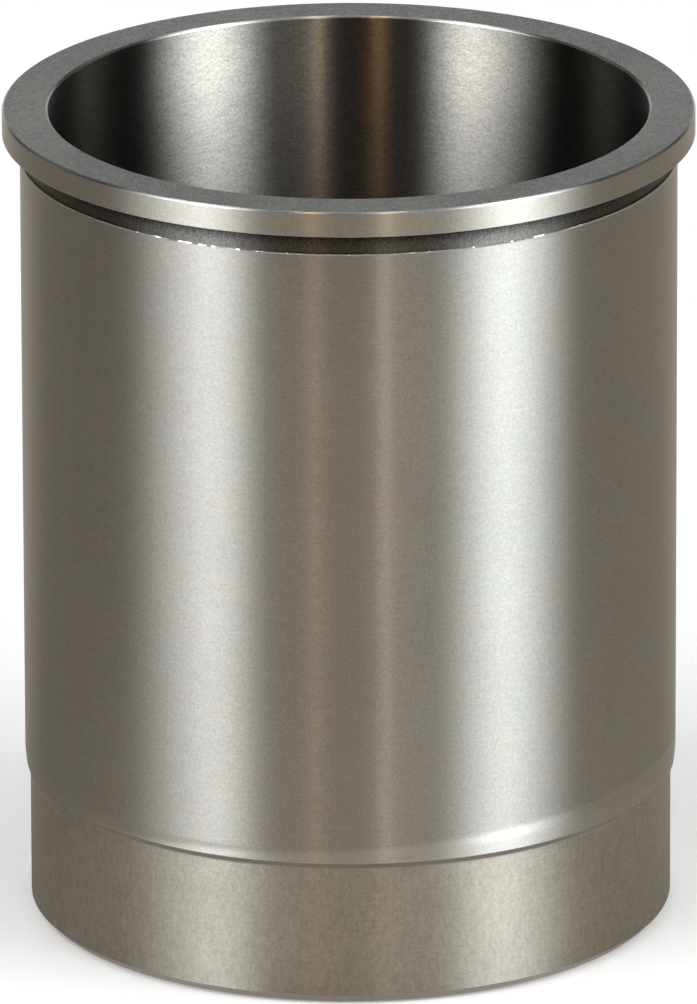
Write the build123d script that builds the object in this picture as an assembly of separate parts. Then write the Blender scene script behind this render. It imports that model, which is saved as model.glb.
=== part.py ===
from build123d import *
import os

# Flanged cylinder liner, turned and honed from one iron casting. It stands on its
# lower end with the bore axis on +Z and the origin at the middle of the foot face.
# Millimetres. Each row below is one size that can be set by itself.

# Bore
bore_radius = 44.45
bore_chamfer = 0.4

# Metal outside the bore, counted outwards from it
body_wall = 4.2
flange_overhang = 2.6
relief_depth = 0.6
lead_in_drop = 0.18
step_drop = 0.57

# Heights, counted down from the flange and up from the foot; the ground body
# takes up what is left between them
liner_height = 123.75
flange_thickness = 3.8
relief_height = 3.45
spigot_height = 21.25
step_height = 0.9
lead_in_height = 1.95

# Edges and corners
flange_top_chamfer = 0.3
flange_seat_chamfer = 0.1
shoulder_chamfer = 0.15
relief_corner_radius = 0.4
relief_corner_share = 0.9
step_root_radius = 0.5
foot_chamfer = 1.3

# Radii of the turned steps
body_radius = bore_radius + body_wall
flange_radius = body_radius + flange_overhang
relief_radius = body_radius - relief_depth
lead_in_radius = body_radius - lead_in_drop
spigot_radius = lead_in_radius - step_drop

# Heights of the turned steps above the foot
step_top = spigot_height + step_height
lead_in_top = step_top + lead_in_height
flange_seat = liner_height - flange_thickness
shoulder = flange_seat - relief_height


def turned_section():
    """Half of the liner's section, radius along X and height along Y, with sharp corners."""
    return make_face(
        Polyline(
            (bore_radius, 0),
            (spigot_radius, 0),
            (spigot_radius, spigot_height),
            (lead_in_radius, step_top),
            (body_radius, lead_in_top),
            (body_radius, shoulder),
            (relief_radius, shoulder),
            (relief_radius, flange_seat),
            (flange_radius, flange_seat),
            (flange_radius, liner_height),
            (bore_radius, liner_height),
            close=True,
        )
    )


def corner(section, radius, height):
    """The corner of the section nearest to this radius and height."""
    return section.vertices().sort_by_distance((radius, height))[0]


def finished_section():
    """The section with its corners broken, and rounded where a turning tool leaves its nose radius."""
    section = turned_section()

    bore_mouths = [corner(section, bore_radius, 0), corner(section, bore_radius, liner_height)]
    section = chamfer(bore_mouths, bore_chamfer)
    section = chamfer(corner(section, spigot_radius, 0), foot_chamfer)
    section = chamfer(corner(section, flange_radius, liner_height), flange_top_chamfer)
    section = chamfer(corner(section, flange_radius, flange_seat), flange_seat_chamfer)
    section = chamfer(corner(section, body_radius, shoulder), shoulder_chamfer)

    # The relief lets the mating edge sit square under the flange, so both its
    # inner corners keep the radius of the grooving tool, as far as the ledge beside
    # the shoulder's chamfer leaves room for it.
    ledge = relief_depth - shoulder_chamfer
    relief_roots = [corner(section, relief_radius, shoulder), corner(section, relief_radius, flange_seat)]
    section = fillet(relief_roots, min(relief_corner_radius, relief_corner_share * ledge))

    return fillet(corner(section, spigot_radius, spigot_height), step_root_radius)


def cylinder_liner():
    """The section spun once round the bore axis."""
    return revolve(Plane.XZ * finished_section(), Axis.Z)


os.makedirs("parts", exist_ok=True)
export_step(cylinder_liner(), "parts/cylinder_liner.step")
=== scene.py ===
import math

import bpy
import numpy as np
from mathutils import Matrix, Vector


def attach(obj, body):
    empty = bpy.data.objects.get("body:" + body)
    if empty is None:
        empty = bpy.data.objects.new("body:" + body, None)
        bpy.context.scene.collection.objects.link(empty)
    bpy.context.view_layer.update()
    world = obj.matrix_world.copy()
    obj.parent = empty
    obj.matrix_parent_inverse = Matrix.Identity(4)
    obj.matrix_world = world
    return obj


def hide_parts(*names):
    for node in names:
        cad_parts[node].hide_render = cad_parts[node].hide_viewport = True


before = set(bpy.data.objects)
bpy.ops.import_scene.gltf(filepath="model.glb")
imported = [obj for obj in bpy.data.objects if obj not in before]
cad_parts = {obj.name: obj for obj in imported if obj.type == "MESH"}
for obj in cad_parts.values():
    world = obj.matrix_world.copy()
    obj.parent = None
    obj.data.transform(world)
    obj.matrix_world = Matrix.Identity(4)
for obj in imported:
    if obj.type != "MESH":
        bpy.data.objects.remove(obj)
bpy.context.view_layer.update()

# ---------------------------------------------------------------------------
# Cylinder liner
# One cast-iron sleeve, bored, turned and ground on its own axis, with a flange
# at the top that hangs it in the block. Its lower end is turned down to a spigot.
# ---------------------------------------------------------------------------

MM = 0.001      # metres in a millimetre

bore_radius = 44.45
body_radius = 48.65
flange_radius = 51.25
relief_radius = 48.05
lead_in_radius = 48.47
spigot_radius = 47.90

liner_height = 123.75
flange_seat = 119.95
shoulder = 116.50
lead_in_top = 24.10
step_top = 22.15
spigot_top = 21.25

bore_chamfer = 0.40
mouth_chamfer = 0.28      # at the top, where the hone has run over the cut chamfer
foot_chamfer = 1.30
flange_top_chamfer = 0.25      # stoned down a little from the 0.30 it was cut to
flange_seat_chamfer = 0.10
shoulder_chamfer = 0.15
relief_foot_radius = 48.38      # the tool was drawn out a little as it reached the shoulder

relief_corner = 0.40      # from here on, how far each corner is rounded
relief_foot_corner = 0.08
step_root = 0.50
lead_in_blend = 8.0      # the taper runs into the ground body without an edge
mouth_honed = 0.28      # the hone's stones wear the lower corner of the mouth's chamfer round
mouth_stoned = 0.08
well_stoned = 0.16      # what a slip stone leaves on the edges that hands touch
stoned = 0.05
barely_stoned = 0.03

# The finish on the run that starts at each corner of the section
GROUND, RIM, FACE, RELIEF, SPIGOT, FOOT, BORE, EDGE, UNDERSIDE, STEP = range(10)

# radius, height, rounding, finish of the corner itself, finish of the run after it
liner_section = np.array([
    (bore_radius + bore_chamfer, 0.0, stoned, EDGE, UNDERSIDE),
    (spigot_radius - foot_chamfer, 0.0, stoned, EDGE, FOOT),
    (spigot_radius, foot_chamfer, stoned, EDGE, SPIGOT),
    (spigot_radius, spigot_top, step_root, SPIGOT, STEP),
    (lead_in_radius, step_top, barely_stoned, STEP, GROUND),
    (body_radius, lead_in_top, lead_in_blend, GROUND, GROUND),
    (body_radius, shoulder - shoulder_chamfer, barely_stoned, EDGE, EDGE),
    (body_radius - shoulder_chamfer, shoulder, barely_stoned, EDGE, RELIEF),
    (relief_foot_radius, shoulder, relief_foot_corner, RELIEF, RELIEF),
    (relief_radius, flange_seat, relief_corner, RELIEF, RELIEF),
    (flange_radius - flange_seat_chamfer, flange_seat, barely_stoned, EDGE, EDGE),
    (flange_radius, flange_seat + flange_seat_chamfer, barely_stoned, EDGE, RIM),
    (flange_radius, liner_height - flange_top_chamfer, well_stoned, EDGE, EDGE),
    (flange_radius - flange_top_chamfer, liner_height, well_stoned, EDGE, FACE),
    (bore_radius + mouth_chamfer, liner_height, mouth_stoned, EDGE, EDGE),
    (bore_radius, liner_height - mouth_chamfer, mouth_honed, EDGE, BORE),
    (bore_radius, bore_chamfer, stoned, EDGE, EDGE),
])


def rounded_section(corners, steps=5, guard=0.04):
    """Each sharp corner P with rounding r becomes a true arc. Its ends A and B lie r*tan(turn/2)
    before and after P; between them the arc is the rational curve
    ((1-s)^2 A + 2(1-s)s w P + s^2 B) / ((1-s)^2 + 2(1-s)s w + s^2) with w = cos(turn/2).
    A guard point just outside each end keeps the straight runs flat when shaded smooth."""
    point = corners[:, :2]
    rounding = corners[:, 2:3]
    into = point - np.roll(point, 1, axis=0)
    onward = np.roll(point, -1, axis=0) - point
    into_length = np.linalg.norm(into, axis=1, keepdims=True)
    onward_length = np.linalg.norm(onward, axis=1, keepdims=True)
    into = into / into_length
    onward = onward / onward_length
    turn = np.arccos(np.clip((into * onward).sum(1, keepdims=True), -1.0, 1.0))
    reach = rounding * np.tan(turn / 2)
    start = point - into * reach
    end = point + onward * reach
    weight = np.cos(turn / 2)[:, None]
    s = np.linspace(0.0, 1.0, steps)[None, :, None]
    rational = (
        (1 - s) ** 2 * start[:, None] + 2 * (1 - s) * s * weight * point[:, None] + s ** 2 * end[:, None]
    )
    arc = rational / ((1 - s) ** 2 + 2 * (1 - s) * s * weight + s ** 2)
    before = start - into * np.minimum(guard, 0.25 * (into_length - reach))
    after = end + onward * np.minimum(guard, 0.25 * (onward_length - reach))
    rows = np.concatenate([before[:, None], arc, after[:, None]], axis=1)
    finish = np.repeat(corners[:, 3:4], steps + 2, axis=1)
    finish[:, 0] = np.roll(corners[:, 4], 1)
    finish[:, -1] = corners[:, 4]
    return rows.reshape(-1, 2), finish.reshape(-1).astype(int)


def spun_mesh(name, rows, turns, offset=None, smooth=True):
    """Every point (r, z) of a closed section goes once round the bore axis:
    x = r cos a, y = r sin a, z = z, in metres. offset(angle) may add a small (dr, dz) to every point."""
    angle = np.arange(turns) * (2 * math.pi / turns)
    r = np.repeat(rows[:, 0:1], turns, axis=1)
    z = np.repeat(rows[:, 1:2], turns, axis=1)
    if offset is not None:
        dr, dz = offset(angle)
        r = r + dr
        z = z + dz
    points = np.stack([r * np.cos(angle), r * np.sin(angle), z], axis=-1).reshape(-1, 3) * MM
    row = np.arange(len(rows))[:, None]
    column = np.arange(turns)[None, :]
    next_row = (row + 1) % len(rows)
    next_column = (column + 1) % turns
    quads = np.stack([
        row * turns + column,
        row * turns + next_column,
        next_row * turns + next_column,
        next_row * turns + column,
    ], axis=-1).reshape(-1, 4)
    mesh = bpy.data.meshes.new(name)
    mesh.from_pydata(points.tolist(), [], quads.tolist())
    mesh.polygons.foreach_set("use_smooth", np.full(len(quads), smooth))
    return mesh


liner_turns = 720
section_rows, row_finish = rounded_section(liner_section)
liner_mesh = spun_mesh("cylinder_liner_finished", section_rows, liner_turns)
liner_mesh.polygons.foreach_set("material_index", np.repeat(row_finish, liner_turns))
liner = bpy.data.objects.new("cylinder_liner_finished", liner_mesh)
bpy.context.scene.collection.objects.link(liner)


class Wire:
    """A socket in a finish's nodes. Sums on it add Math nodes, and node() adds any other kind."""

    def __init__(self, tree, socket=None):
        self.tree = tree
        self.socket = socket

    def node(self, kind, settings=None, sockets=None, output=0):
        """Adds a node: first its settings, then a value or a link for each socket named or numbered."""
        made = self.tree.nodes.new(kind)
        for key, value in (settings or {}).items():
            setattr(made, key, value)
        for key, value in (sockets or {}).items():
            if isinstance(value, Wire):
                self.tree.links.new(value.socket, made.inputs[key])
            else:
                made.inputs[key].default_value = value
        return Wire(self.tree, made.outputs[output])

    def maths(self, operation, *values):
        return self.node("ShaderNodeMath", {"operation": operation}, dict(enumerate(values)))

    def __add__(self, other):
        return self.maths("ADD", self, other)

    def __radd__(self, other):
        return self.maths("ADD", other, self)

    def __sub__(self, other):
        return self.maths("SUBTRACT", self, other)

    def __rsub__(self, other):
        return self.maths("SUBTRACT", other, self)

    def __mul__(self, other):
        return self.maths("MULTIPLY", self, other)

    def __rmul__(self, other):
        return self.maths("MULTIPLY", other, self)

    def clipped(self):
        return self.node("ShaderNodeClamp", None, {"Value": self})

    def ramped(self, low, high, to_low=0.0, to_high=1.0):
        """Rises smoothly from to_low to to_high while the socket goes from low to high."""
        return self.node(
            "ShaderNodeMapRange",
            {"interpolation_type": "SMOOTHSTEP"},
            {"Value": self, "From Min": low, "From Max": high, "To Min": to_low, "To Max": to_high},
        )

    def stretched(self, x, y, z):
        """A vector socket scaled by x, y and z."""
        return self.node("ShaderNodeVectorMath", {"operation": "MULTIPLY"}, {0: self, 1: (x, y, z)})

    def length(self):
        """How long a vector socket is."""
        return self.node("ShaderNodeVectorMath", {"operation": "LENGTH"}, {0: self}, output=1)

    def across(self):
        """The x of a vector socket."""
        return self.node("ShaderNodeSeparateXYZ", None, {0: self}, output=0)

    def height(self):
        """The z of a vector socket."""
        return self.node("ShaderNodeSeparateXYZ", None, {0: self}, output=2)

    def twisted(self, pitch):
        """The vector turned about the axis by pitch radians for each metre of its height."""
        return self.node(
            "ShaderNodeVectorRotate",
            {"rotation_type": "Z_AXIS"},
            {"Vector": self, "Angle": self.height() * pitch},
        )

    def noise(self, scale, detail=2.0):
        """Noise about 0, near -1 to 1, with features about 1/scale of a metre."""
        raw = self.node(
            "ShaderNodeTexNoise",
            {"noise_dimensions": "3D", "normalize": True},
            {"Vector": self, "Scale": scale, "Detail": detail},
        )
        return (raw - 0.5) * 2.0

    def mixed(self, first, second):
        """Goes from the first colour at 0 to the second at 1. A colour is a socket or three numbers."""
        first, second = (c if isinstance(c, Wire) else c + (1.0,) for c in (first, second))
        return self.node(
            "ShaderNodeMix",
            {"data_type": "RGBA", "blend_type": "MIX"},
            {0: self, 6: first, 7: second},
            output=2,
        )


across_the_marks = 0.25      # cut marks run round the liner, so light scatters up and down across them
iron_grain = 2900.0      # specks to a metre of cut iron


def bare_metal(name, colour, roughness, bump=None, anisotropy=0.0):
    """A finish of bare metal on the liner. colour, roughness and bump each take the place on the piece;
    bump gives a height from -1 to 1 and how deep that is in metres."""
    material = bpy.data.materials.new(name)
    material.use_nodes = True
    tree = material.node_tree
    shader = tree.nodes["Principled BSDF"]
    shader.inputs["Metallic"].default_value = 1.0
    shader.inputs["Anisotropic"].default_value = anisotropy
    shader.inputs["Anisotropic Rotation"].default_value = across_the_marks
    place = Wire(tree).node("ShaderNodeTexCoord", output=3)
    tree.links.new(colour(place).socket, shader.inputs["Base Color"])
    tree.links.new(roughness(place).socket, shader.inputs["Roughness"])
    if bump is not None:
        height, depth = bump(place)
        normal = place.node(
            "ShaderNodeBump", None, {"Strength": 1.0, "Distance": depth, "Height": height}
        )
        tree.links.new(normal.socket, shader.inputs["Normal"])
    return material


def ground_colour(place):
    """Fine grain and faint rings from the wheel, drifting a little between a warm and a cool grey."""
    grain = (
        0.5 + 0.52 * place.noise(iron_grain) + 0.16 * place.stretched(1, 1, 12).noise(320.0)
        + 0.10 * place.noise(45.0)
    ).clipped()
    drift = (0.5 + 0.9 * place.noise(160.0)).clipped()
    return drift.mixed(
        grain.mixed((0.421, 0.393, 0.372), (0.727, 0.684, 0.650)),
        grain.mixed((0.396, 0.399, 0.391), (0.694, 0.694, 0.675)),
    )


wheel_never = 23.7 * MM      # below this height, at the middle, the grinding wheel took nothing
wheel_always = 24.9 * MM      # above this height it took everything
wheel_slant = 0.052      # how much higher both lie for each metre to the right
wheel_wander = 0.25 * MM


def missed_by_the_wheel(place):
    """1 where the grinding wheel ran out above the step and left the turned iron, 0 above that,
    along a line that wanders a little: height - slant * x + wander * noise."""
    slanted = place.height() - wheel_slant * place.across()
    return (slanted + wheel_wander * place.noise(60.0)).ramped(wheel_never, wheel_always, 1.0, 0.0)


def body_colour(place):
    """The ground colour, and below it the lighter turned colour that the wheel left on the lead-in."""
    turned = (
        0.5 + 0.5 * place.noise(iron_grain) + 0.2 * place.stretched(1, 1, 12).noise(300.0)
    ).clipped().mixed((0.575, 0.563, 0.541), (0.845, 0.830, 0.801))
    return missed_by_the_wheel(place).mixed(ground_colour(place), turned)


# Ground on a mandrel, fine and even. Below the slanting line it is coarser, as it was turned.
ground_body = bare_metal(
    "ground_body",
    body_colour,
    lambda place: (
        0.284 + 0.045 * missed_by_the_wheel(place)
        + 0.006 * place.noise(60.0) + 0.004 * place.noise(2600.0)
    ),
    lambda place: (place.noise(iron_grain, 1.0), 0.28e-6),
    anisotropy=1.0,
)

# Ground in the same way as the body, and a little warmer in colour
flange_rim = bare_metal(
    "ground_flange_rim",
    lambda place: (
        0.5 + 0.52 * place.noise(3000.0) + 0.2 * place.stretched(1, 1, 14).noise(300.0)
    ).clipped().mixed((0.48, 0.458, 0.422), (0.755, 0.724, 0.669)),
    lambda place: 0.284 + 0.008 * place.noise(2600.0),
    lambda place: (place.noise(iron_grain, 1.0), 0.28e-6),
    anisotropy=1.0,
)

# Faced in the lathe and left dull and speckled
top_face = bare_metal(
    "turned_top_face",
    lambda place: (
        0.5 + 0.78 * place.noise(iron_grain) + 0.30 * place.noise(800.0) + 0.22 * place.noise(110.0)
        + 0.12 * place.noise(30.0)
    ).clipped().mixed((0.27, 0.272, 0.256), (0.87, 0.87, 0.825)),
    lambda place: 0.38 + 0.03 * place.noise(2000.0),
    lambda place: (place.noise(2800.0, 1.0), 1.0e-6),
    anisotropy=0.5,
)

# Cut with a grooving tool that tore the iron, so it is rough; its dark colour is partly the torn iron and
# partly painted shade under the flange
relief_painted_shade_foot = 117.2 * MM      # painted shade: it darkens from here up to the flange
relief_painted_shade_top = 119.2 * MM

relief_cut = bare_metal(
    "turned_relief",
    lambda place: (
        0.5 + 0.55 * place.noise(3600.0) + 0.2 * place.stretched(1, 1, 0.15).noise(2600.0)
        # painted shade under the flange's overhang, darker towards the flange
        - 0.42 * place.height().ramped(relief_painted_shade_foot, relief_painted_shade_top)
    ).clipped().mixed((0.042, 0.039, 0.036), (0.25, 0.239, 0.23)),
    lambda place: 0.32 + 0.06 * place.noise(3600.0),
    lambda place: (place.noise(3600.0, 1.0), 2.6e-6),
    anisotropy=0.95,
)

# Turned with a fine feed, never ground, so its reflections are blurred
spigot_turned = bare_metal(
    "turned_spigot",
    lambda place: (
        0.5 + 0.50 * place.noise(iron_grain) + 0.30 * place.stretched(1, 1, 0.4).noise(1300.0)
        + 0.14 * place.stretched(1, 1, 8).noise(260.0) + 0.18 * place.noise(90.0)
    ).clipped().mixed((0.41, 0.386, 0.348), (0.765, 0.724, 0.660)),
    lambda place: 0.315 + 0.02 * place.noise(2600.0),
    lambda place: (place.noise(iron_grain, 1.0), 1.2e-6),
    anisotropy=0.90,
)

# Turned with a plain form tool
foot_turned = bare_metal(
    "turned_foot_chamfer",
    lambda place: (0.5 + 0.5 * place.noise(iron_grain)).clipped().mixed(
        (0.50, 0.467, 0.455), (0.76, 0.717, 0.695)
    ),
    lambda place: 0.50 + 0.05 * place.noise(2600.0),
    lambda place: (place.noise(2400.0, 1.0), 2.0e-6),
    anisotropy=0.6,
)


hone_climb = 39.0      # radians round the bore for each metre up it, so the lines climb at 30 degrees
hone_stretch = 0.04      # so each line rises 25 times its width
hone_lines = 2600.0      # to a metre round the bore


def hone_marks(place, detail=2.0):
    """Two sets of fine lines that climb the bore both ways."""
    return (
        place.twisted(hone_climb).stretched(1, 1, hone_stretch).noise(hone_lines, detail)
        + place.twisted(-hone_climb).stretched(1, 1, hone_stretch).noise(hone_lines, detail)
    )


def honed_colour(place):
    """Specks, hone marks and rings. Rays that have already been reflected once see a near-black colour
    instead:
    painted shade that darkens the inside of the bore."""
    seen = (
        0.5 + 0.5 * place.noise(iron_grain) + 0.2 * hone_marks(place)
        + 0.25 * place.stretched(1, 1, 14).noise(300.0)
    ).clipped().mixed((0.366, 0.338, 0.300), (0.965, 0.893, 0.818))
    # painted shade: reflected rays see the bore near black
    painted_shade_on_reflected_rays = place.node("ShaderNodeLightPath", output=3)
    return painted_shade_on_reflected_rays.mixed(seen, (0.045, 0.042, 0.038))


# Honed with fine stones: the crispest reflections on the liner
honed_bore = bare_metal(
    "honed_bore",
    honed_colour,
    lambda place: 0.2775 + 0.003 * place.noise(2200.0),
    lambda place: (0.5 * hone_marks(place, 1.0) + place.noise(3400.0, 1.0), 1.3e-6),
    anisotropy=1.0,
)

# Every broken edge, bright where the stone has rubbed it
stoned_edge = bare_metal(
    "stoned_edge",
    lambda place: (0.5 + 0.5 * place.noise(2500.0)).clipped().mixed(
        (0.56, 0.548, 0.528), (0.78, 0.763, 0.74)
    ),
    lambda place: 0.31 + 0.03 * place.noise(2500.0),
    lambda place: (place.noise(2600.0, 1.0), 1.6e-6),
    anisotropy=1.0,
)

# The cone above the spigot, dull from the side of the turning tool; its dark colour is also painted shade
# where it faces down under the body
step_turned = bare_metal(
    "turned_step",
    lambda place: (0.5 + 0.4 * place.noise(iron_grain)).clipped().mixed(
        (0.31, 0.292, 0.272), (0.48, 0.456, 0.426)
    ),
    lambda place: 0.50 + 0.05 * place.noise(2600.0),
    anisotropy=0.5,
)

# The lower end, faced and seldom seen
foot_face = bare_metal(
    "turned_foot_face",
    lambda place: (0.5 + 0.4 * place.noise(2600.0)).clipped().mixed(
        (0.42, 0.41, 0.40), (0.58, 0.56, 0.55)
    ),
    lambda place: 0.50 + 0.05 * place.noise(2400.0),
    anisotropy=0.8,
)

for finish in (
    ground_body, flange_rim, top_face, relief_cut, spigot_turned,
    foot_turned, honed_bore, stoned_edge, foot_face, step_turned,
):
    liner_mesh.materials.append(finish)

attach(liner, "root")
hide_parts("cylinder_liner")

# ---------------------------------------------------------------------------
# Burr on the relief's edge
# The grooving tool pushes a little iron up over the corner of the ground body, and it
# stays there as a thin ragged lip that glints where it leans towards the light.
# ---------------------------------------------------------------------------

burr_turns = 3600
burr_root = np.array([
    (48.560, 116.230),
    (48.648, 116.250),
    (48.654, 116.370),
    (48.652, 116.520),
    (48.610, 116.540),
    (48.480, 116.400),
])      # radius and height in mm: outside the corner of the body, inside the metal at its root
burr_lean = -0.06 * np.array([0.0, 0.0, 0.1, 1.0, 1.0, 0.0])[:, None]      # mm at each point where it stands
burr_rise = 0.045 * np.array([0.0, 0.0, 0.0, 1.0, 1.0, 0.0])[:, None]


def ragged(angle, knots, seed):
    """Chance heights from -1 to 1 at this many knots round the ring, with straight runs between them."""
    heights = np.random.default_rng(seed).uniform(-1.0, 1.0, knots)
    place = angle * (knots / (2 * math.pi))
    low = np.floor(place).astype(int) % knots
    share = place - np.floor(place)
    return heights[low] * (1 - share) + heights[(low + 1) % knots] * share


def torn_lip(angle):
    """How far each point of the burr's section leans in and rises at each angle, in mm: burr_lean and
    burr_rise times stand, with stand = clip(1.9 left - 0.68 + 0.95 r2 + 0.65 r3, 0, 1) and
    left = 0.5 + 0.5 r1, where r1 to r3 are ragged with 36, 640 and 1700 knots."""
    left = 0.5 + 0.5 * ragged(angle, 36, 2707)
    tear = 0.95 * ragged(angle, 640, 3) + 0.65 * ragged(angle, 1700, 4)
    stand = np.clip(1.9 * left - 0.68 + tear, 0.0, 1.0)
    return burr_lean * stand, burr_rise * stand


burr_mesh = spun_mesh("shoulder_burr", burr_root, burr_turns, torn_lip, smooth=False)
burr = bpy.data.objects.new("shoulder_burr", burr_mesh)
bpy.context.scene.collection.objects.link(burr)

burr_mesh.materials.append(bare_metal(
    "torn_iron",
    lambda place: (0.5 + 0.5 * place.noise(iron_grain)).clipped().mixed(
        (0.56, 0.545, 0.515), (0.80, 0.78, 0.745)
    ),
    lambda place: 0.29 + 0.01 * place.noise(2600.0),
    anisotropy=0.3,
))
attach(burr, "root")

# ---------------------------------------------------------------------------
# Studio floor
# A plain pale sheet that the liner stands on, wide enough to reach past every view. It shades
# near the foot, where the soft shadow lies, and fades to plain white further out.
# ---------------------------------------------------------------------------

floor_half_width = 20.0
fade_start = 0.05      # metres from the bore axis, where the sheet starts to fade to white
fade_end = 0.16
fade_share = 0.5      # how much of the sheet is plain white from there on


def flat_sheet(name, half_width):
    """A square at z = 0 from -half_width to half_width both ways, facing up."""
    x, y = np.meshgrid([-half_width, half_width], [-half_width, half_width])
    points = np.stack([x, y, np.zeros_like(x)], axis=-1).reshape(-1, 3)
    mesh = bpy.data.meshes.new(name)
    mesh.from_pydata(points.tolist(), [], [(0, 1, 3, 2)])
    made = bpy.data.objects.new(name, mesh)
    bpy.context.scene.collection.objects.link(made)
    return made


floor = flat_sheet("studio_floor", floor_half_width)
floor_paint = bpy.data.materials.new("studio_floor")
floor_paint.use_nodes = True
floor_shader = floor_paint.node_tree.nodes["Principled BSDF"]
floor_shader.inputs["Base Color"].default_value = (0.93, 0.93, 0.93, 1.0)
floor_shader.inputs["Roughness"].default_value = 1.0
floor_shader.inputs["Specular IOR Level"].default_value = 0.0
floor_nodes = Wire(floor_paint.node_tree)
seen = floor_nodes.node("ShaderNodeLightPath", output=0)
mirrored = floor_nodes.node("ShaderNodeLightPath", output=3)
through = floor_nodes.node("ShaderNodeLightPath", output=6)
from_axis = floor_nodes.node("ShaderNodeTexCoord", output=3).stretched(1, 1, 0).length()
outside = from_axis.ramped(fade_start, fade_end)
diffuse = Wire(floor_paint.node_tree, floor_shader.outputs[0])
white = floor_nodes.node("ShaderNodeEmission", None, {"Color": (1.0, 1.0, 1.0, 1.0), "Strength": 1.0})
sheet = floor_nodes.node(
    "ShaderNodeMixShader", None,
    {0: (seen + mirrored + through).clipped() * outside * fade_share, 1: diffuse, 2: white},
)
floor_paint.node_tree.links.new(sheet.socket, floor_paint.node_tree.nodes["Material Output"].inputs[0])
floor.data.materials.append(floor_paint)

# ---------------------------------------------------------------------------
# Cards and lights round the liner
# Bare metal shows what stands round it: black cloth under a grey ceiling, two upright soft
# boxes with narrow warm lamps between them and two above, grey cards at the sides and back,
# and a grey mat on the table. The liner's finishes see them only as reflections.
# ---------------------------------------------------------------------------


def studio_card(name, azimuth, path, shader, columns=48):
    """A strip of a surface of revolution about the bore axis. azimuth is (first, last) in degrees,
    0 towards the camera and growing to its right; path is a list of (radius, height) in metres.
    u runs 0 to 1 with the azimuth and v with the path."""
    turn = np.radians(np.linspace(azimuth[0], azimuth[1], columns + 1))[:, None]
    path = np.array(path, float)
    r = path[None, :, 0]
    z = np.repeat(path[None, :, 1], columns + 1, axis=0)
    points = np.stack([r * np.sin(turn), -r * np.cos(turn), z], axis=-1).reshape(-1, 3)
    count = len(path)
    column = np.arange(columns)[:, None]
    row = np.arange(count - 1)[None, :]
    quads = np.stack([
        column * count + row,
        (column + 1) * count + row,
        (column + 1) * count + row + 1,
        column * count + row + 1,
    ], axis=-1).reshape(-1, 4)
    mesh = bpy.data.meshes.new(name)
    mesh.from_pydata(points.tolist(), [], quads.tolist())
    u = np.repeat(np.linspace(0, 1, columns + 1), count)
    v = np.tile(np.linspace(0, 1, count), columns + 1)
    uv = mesh.uv_layers.new(name="card")
    uv.data.foreach_set("uv", np.stack([u, v], axis=-1)[quads.reshape(-1)].reshape(-1))
    card = bpy.data.objects.new(name, mesh)
    bpy.context.scene.collection.objects.link(card)
    card.visible_camera = False
    card.visible_diffuse = False
    card.visible_transmission = False
    card.visible_shadow = False
    material = bpy.data.materials.new(name)
    material.use_nodes = True
    tree = material.node_tree
    tree.nodes.clear()
    across = Wire(tree).node("ShaderNodeTexCoord", output=2)
    u_wire = across.node("ShaderNodeSeparateXYZ", None, {0: across}, output=0)
    v_wire = across.node("ShaderNodeSeparateXYZ", None, {0: across}, output=1)
    output = tree.nodes.new("ShaderNodeOutputMaterial")
    tree.links.new(shader(u_wire, v_wire).socket, output.inputs[0])
    mesh.materials.append(material)


def plain_card(colour):
    """The same radiance all over, hiding what is behind."""
    return lambda u, v: u.node("ShaderNodeEmission", None, {"Color": colour + (1.0,), "Strength": 1.0})


def soft_box(colour, strength, edge, last_edge=None):
    """Light that falls off smoothly to nothing over the shares edge and last_edge at its two sides."""
    def shader(u, v):
        fall = u.ramped(0.0, edge) * (1.0 - u.ramped(1.0 - (last_edge or edge), 1.0))
        glow = u.node("ShaderNodeEmission", None, {"Color": colour + (1.0,), "Strength": fall * strength})
        clear = u.node("ShaderNodeBsdfTransparent")
        return u.node("ShaderNodeAddShader", None, {0: glow, 1: clear})
    return shader


def arch(radius, low, high, points=9):
    """Points of a circle about the foot's middle, from low to high degrees above the floor."""
    lift = np.radians(np.linspace(low, high, points))
    return np.stack([radius * np.cos(lift), radius * np.sin(lift)], axis=-1)


cloth_top = 64      # degrees up, where the cloth ends and the ceiling starts
black = (0.003, 0.003, 0.0025)
ceiling_grey = (0.55, 0.55, 0.54)
studio_card("black_cloth", (-180, 180), arch(1.9, 0, cloth_top), plain_card(black), columns=96)
studio_card("grey_ceiling", (-180, 180), arch(1.9, cloth_top, 90), plain_card(ceiling_grey), columns=96)
studio_card("grey_backdrop", (130, 230), arch(1.8, 0, 20), soft_box((1.0, 1.0, 1.0), 0.86, 0.45))

side_arch = arch(1.85, 15, 58)
side_grey = soft_box((1.0, 0.98, 0.96), 0.20, 0.25)
studio_card("grey_side_right", (106, 146), side_arch, side_grey)
studio_card("grey_side_left", (-146, -106), side_arch, side_grey)

box_arch = arch(1.5, 10, 44)
studio_card("soft_box_right", (28.5, 88), box_arch, soft_box((0.90, 0.98, 1.0), 12.6, 0.53, 0.60))
studio_card("soft_box_left", (-87, -27.5), box_arch, soft_box((0.93, 0.985, 1.0), 11.2, 0.85, 0.42))
studio_card("fill_right", (5, 36), arch(1.45, 10, 44), soft_box((1.0, 0.97, 0.92), 0.59, 0.4))

lamp_arch = arch(1.4, 10, 44)
studio_card("warm_lamp_right", (9.8, 14.2), lamp_arch, soft_box((1.0, 0.84, 0.66), 5.0, 0.5))
studio_card("warm_lamp_left", (-14.0, -9.8), lamp_arch, soft_box((1.0, 0.62, 0.33), 3.3, 0.5))

top_arch = arch(1.4, 62, 80)
studio_card("warm_top_right", (21.5, 25.5), top_arch, soft_box((1.0, 0.90, 0.78), 17.0, 0.5))
studio_card("warm_top_left", (-25.5, -21.5), top_arch, soft_box((1.0, 0.80, 0.60), 17.0, 0.5))


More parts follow.
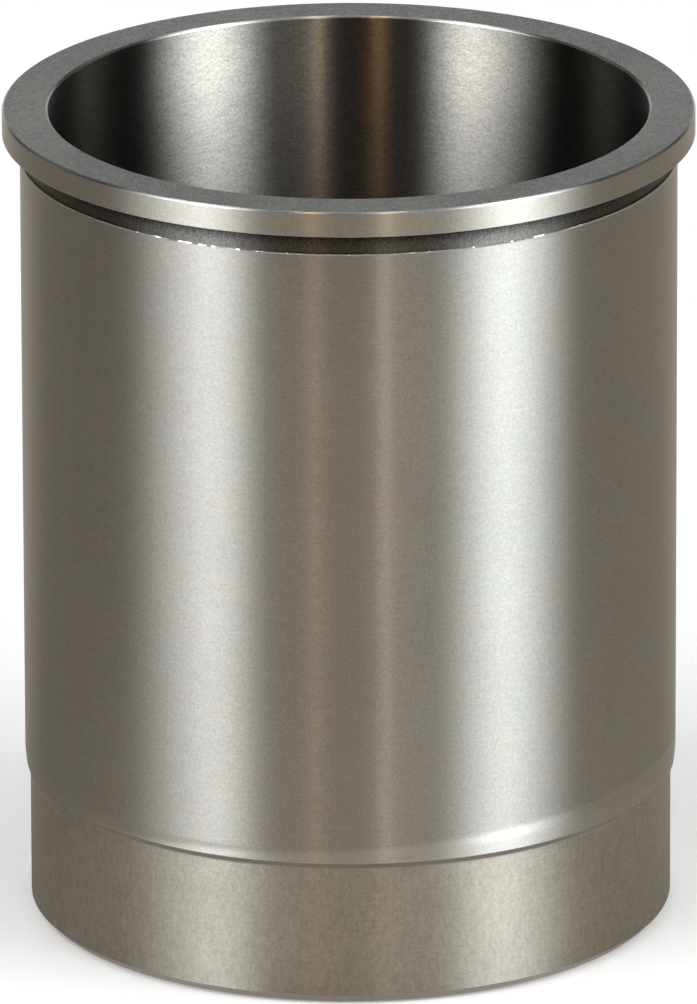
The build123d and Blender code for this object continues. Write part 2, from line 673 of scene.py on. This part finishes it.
def table_mat(colour, near, ring, left, right):
    """Grey all over, near times as bright at the inner edge and ring times a little outside it, a painted
    shadow of the liner round its foot, and left and right times as bright at a quarter and three quarters of
    the way round."""
    def shader(u, v):
        painted_foot_shadow = v.ramped(0.0, 0.013, near, ring) * v.ramped(0.02, 0.1, 1.0, 1.0 / ring)
        to_left = u.ramped(0.0, 0.14) * (1.0 - u.ramped(0.16, 0.42))
        to_right = u.ramped(0.58, 0.84) * (1.0 - u.ramped(0.86, 1.0))
        shade = painted_foot_shadow * (1.0 - (1.0 - left) * to_left) * (1.0 - (1.0 - right) * to_right)
        return u.node("ShaderNodeEmission", None, {"Color": colour + (1.0,), "Strength": shade})
    return shader


mat_height = 0.1 * MM      # clear of the floor
mat_inner = 46.3 * MM      # just inside the foot's outer edge
bore_shade_sheet_radius = 44.0 * MM
back_mat_radius = 80.0 * MM
studio_card(
    "grey_mat", (-163, 163), [(mat_inner, mat_height), (1.8, mat_height)],
    table_mat((0.415, 0.375, 0.312), 0.75, 1.01, 0.56, 0.74), columns=96,
)
# A near-black sheet inside the bore, seen only in reflections: painted shade where the floor lies in the
# liner's shade
studio_card(
    "painted_shade_in_the_bore", (-180, 180), [(0.0, mat_height), (bore_shade_sheet_radius, mat_height)],
    plain_card((0.03, 0.027, 0.022)),
)
studio_card(
    "mat_at_the_back", (163, 197), [(mat_inner, mat_height), (back_mat_radius, mat_height)],
    plain_card((0.40, 0.36, 0.30)),
)

# ---------------------------------------------------------------------------
# Lamps and world
# Broad lamps above light the floor evenly and give the liner a soft shadow.
# ---------------------------------------------------------------------------


def overhead_lamp(name, place, width, power):
    """A square area lamp at place, aimed at the middle of the liner."""
    light = bpy.data.lights.new(name, "AREA")
    light.shape = "SQUARE"
    light.size = width
    light.energy = power
    lamp = bpy.data.objects.new(name, light)
    bpy.context.scene.collection.objects.link(lamp)
    aim = Vector((0.0, 0.0, 0.06)) - Vector(place)
    lamp.matrix_world = Matrix.Translation(place) @ aim.to_track_quat("-Z", "Y").to_matrix().to_4x4()
    lamp.visible_camera = False
    lamp.visible_glossy = False


lamp_width = 1.8
lamp_power = 42.0
overhead_lamp("lamp_left", (-1.6, -1.2, 2.6), lamp_width, lamp_power)
overhead_lamp("lamp_right", (1.8, -1.0, 2.6), lamp_width, lamp_power)

world = bpy.data.worlds.new("studio_air")
world.use_nodes = True
world.node_tree.nodes["Background"].inputs["Color"].default_value = (1.0, 1.0, 1.0, 1.0)
world.node_tree.nodes["Background"].inputs["Strength"].default_value = 0.6
bpy.context.scene.world = world

# ---------------------------------------------------------------------------
# Camera
# A long lens from the front, looking down a little into the bore.
# ---------------------------------------------------------------------------

camera_distance = 2.48725
camera_elevation = math.radians(19.0136)
camera_roll = math.radians(-0.1677)
camera_target = Vector((0.0, 0.0, 0.06187))
camera_back = Vector((0.0, -math.cos(camera_elevation), math.sin(camera_elevation)))

lens = bpy.data.cameras.new("camera")
lens.lens = 598.84
lens.sensor_width = 36.0
lens.shift_x = -0.00123
lens.shift_y = -0.00045
lens.clip_start = 0.1
lens.clip_end = 100.0
camera = bpy.data.objects.new("camera", lens)
bpy.context.scene.collection.objects.link(camera)
camera.matrix_world = (
    Matrix.Translation(camera_target + camera_back * camera_distance)
    @ (-camera_back).to_track_quat("-Z", "Y").to_matrix().to_4x4()
    @ Matrix.Rotation(camera_roll, 4, "Z")
)
bpy.context.scene.camera = camera

bpy.context.scene.view_settings.view_transform = "Standard"
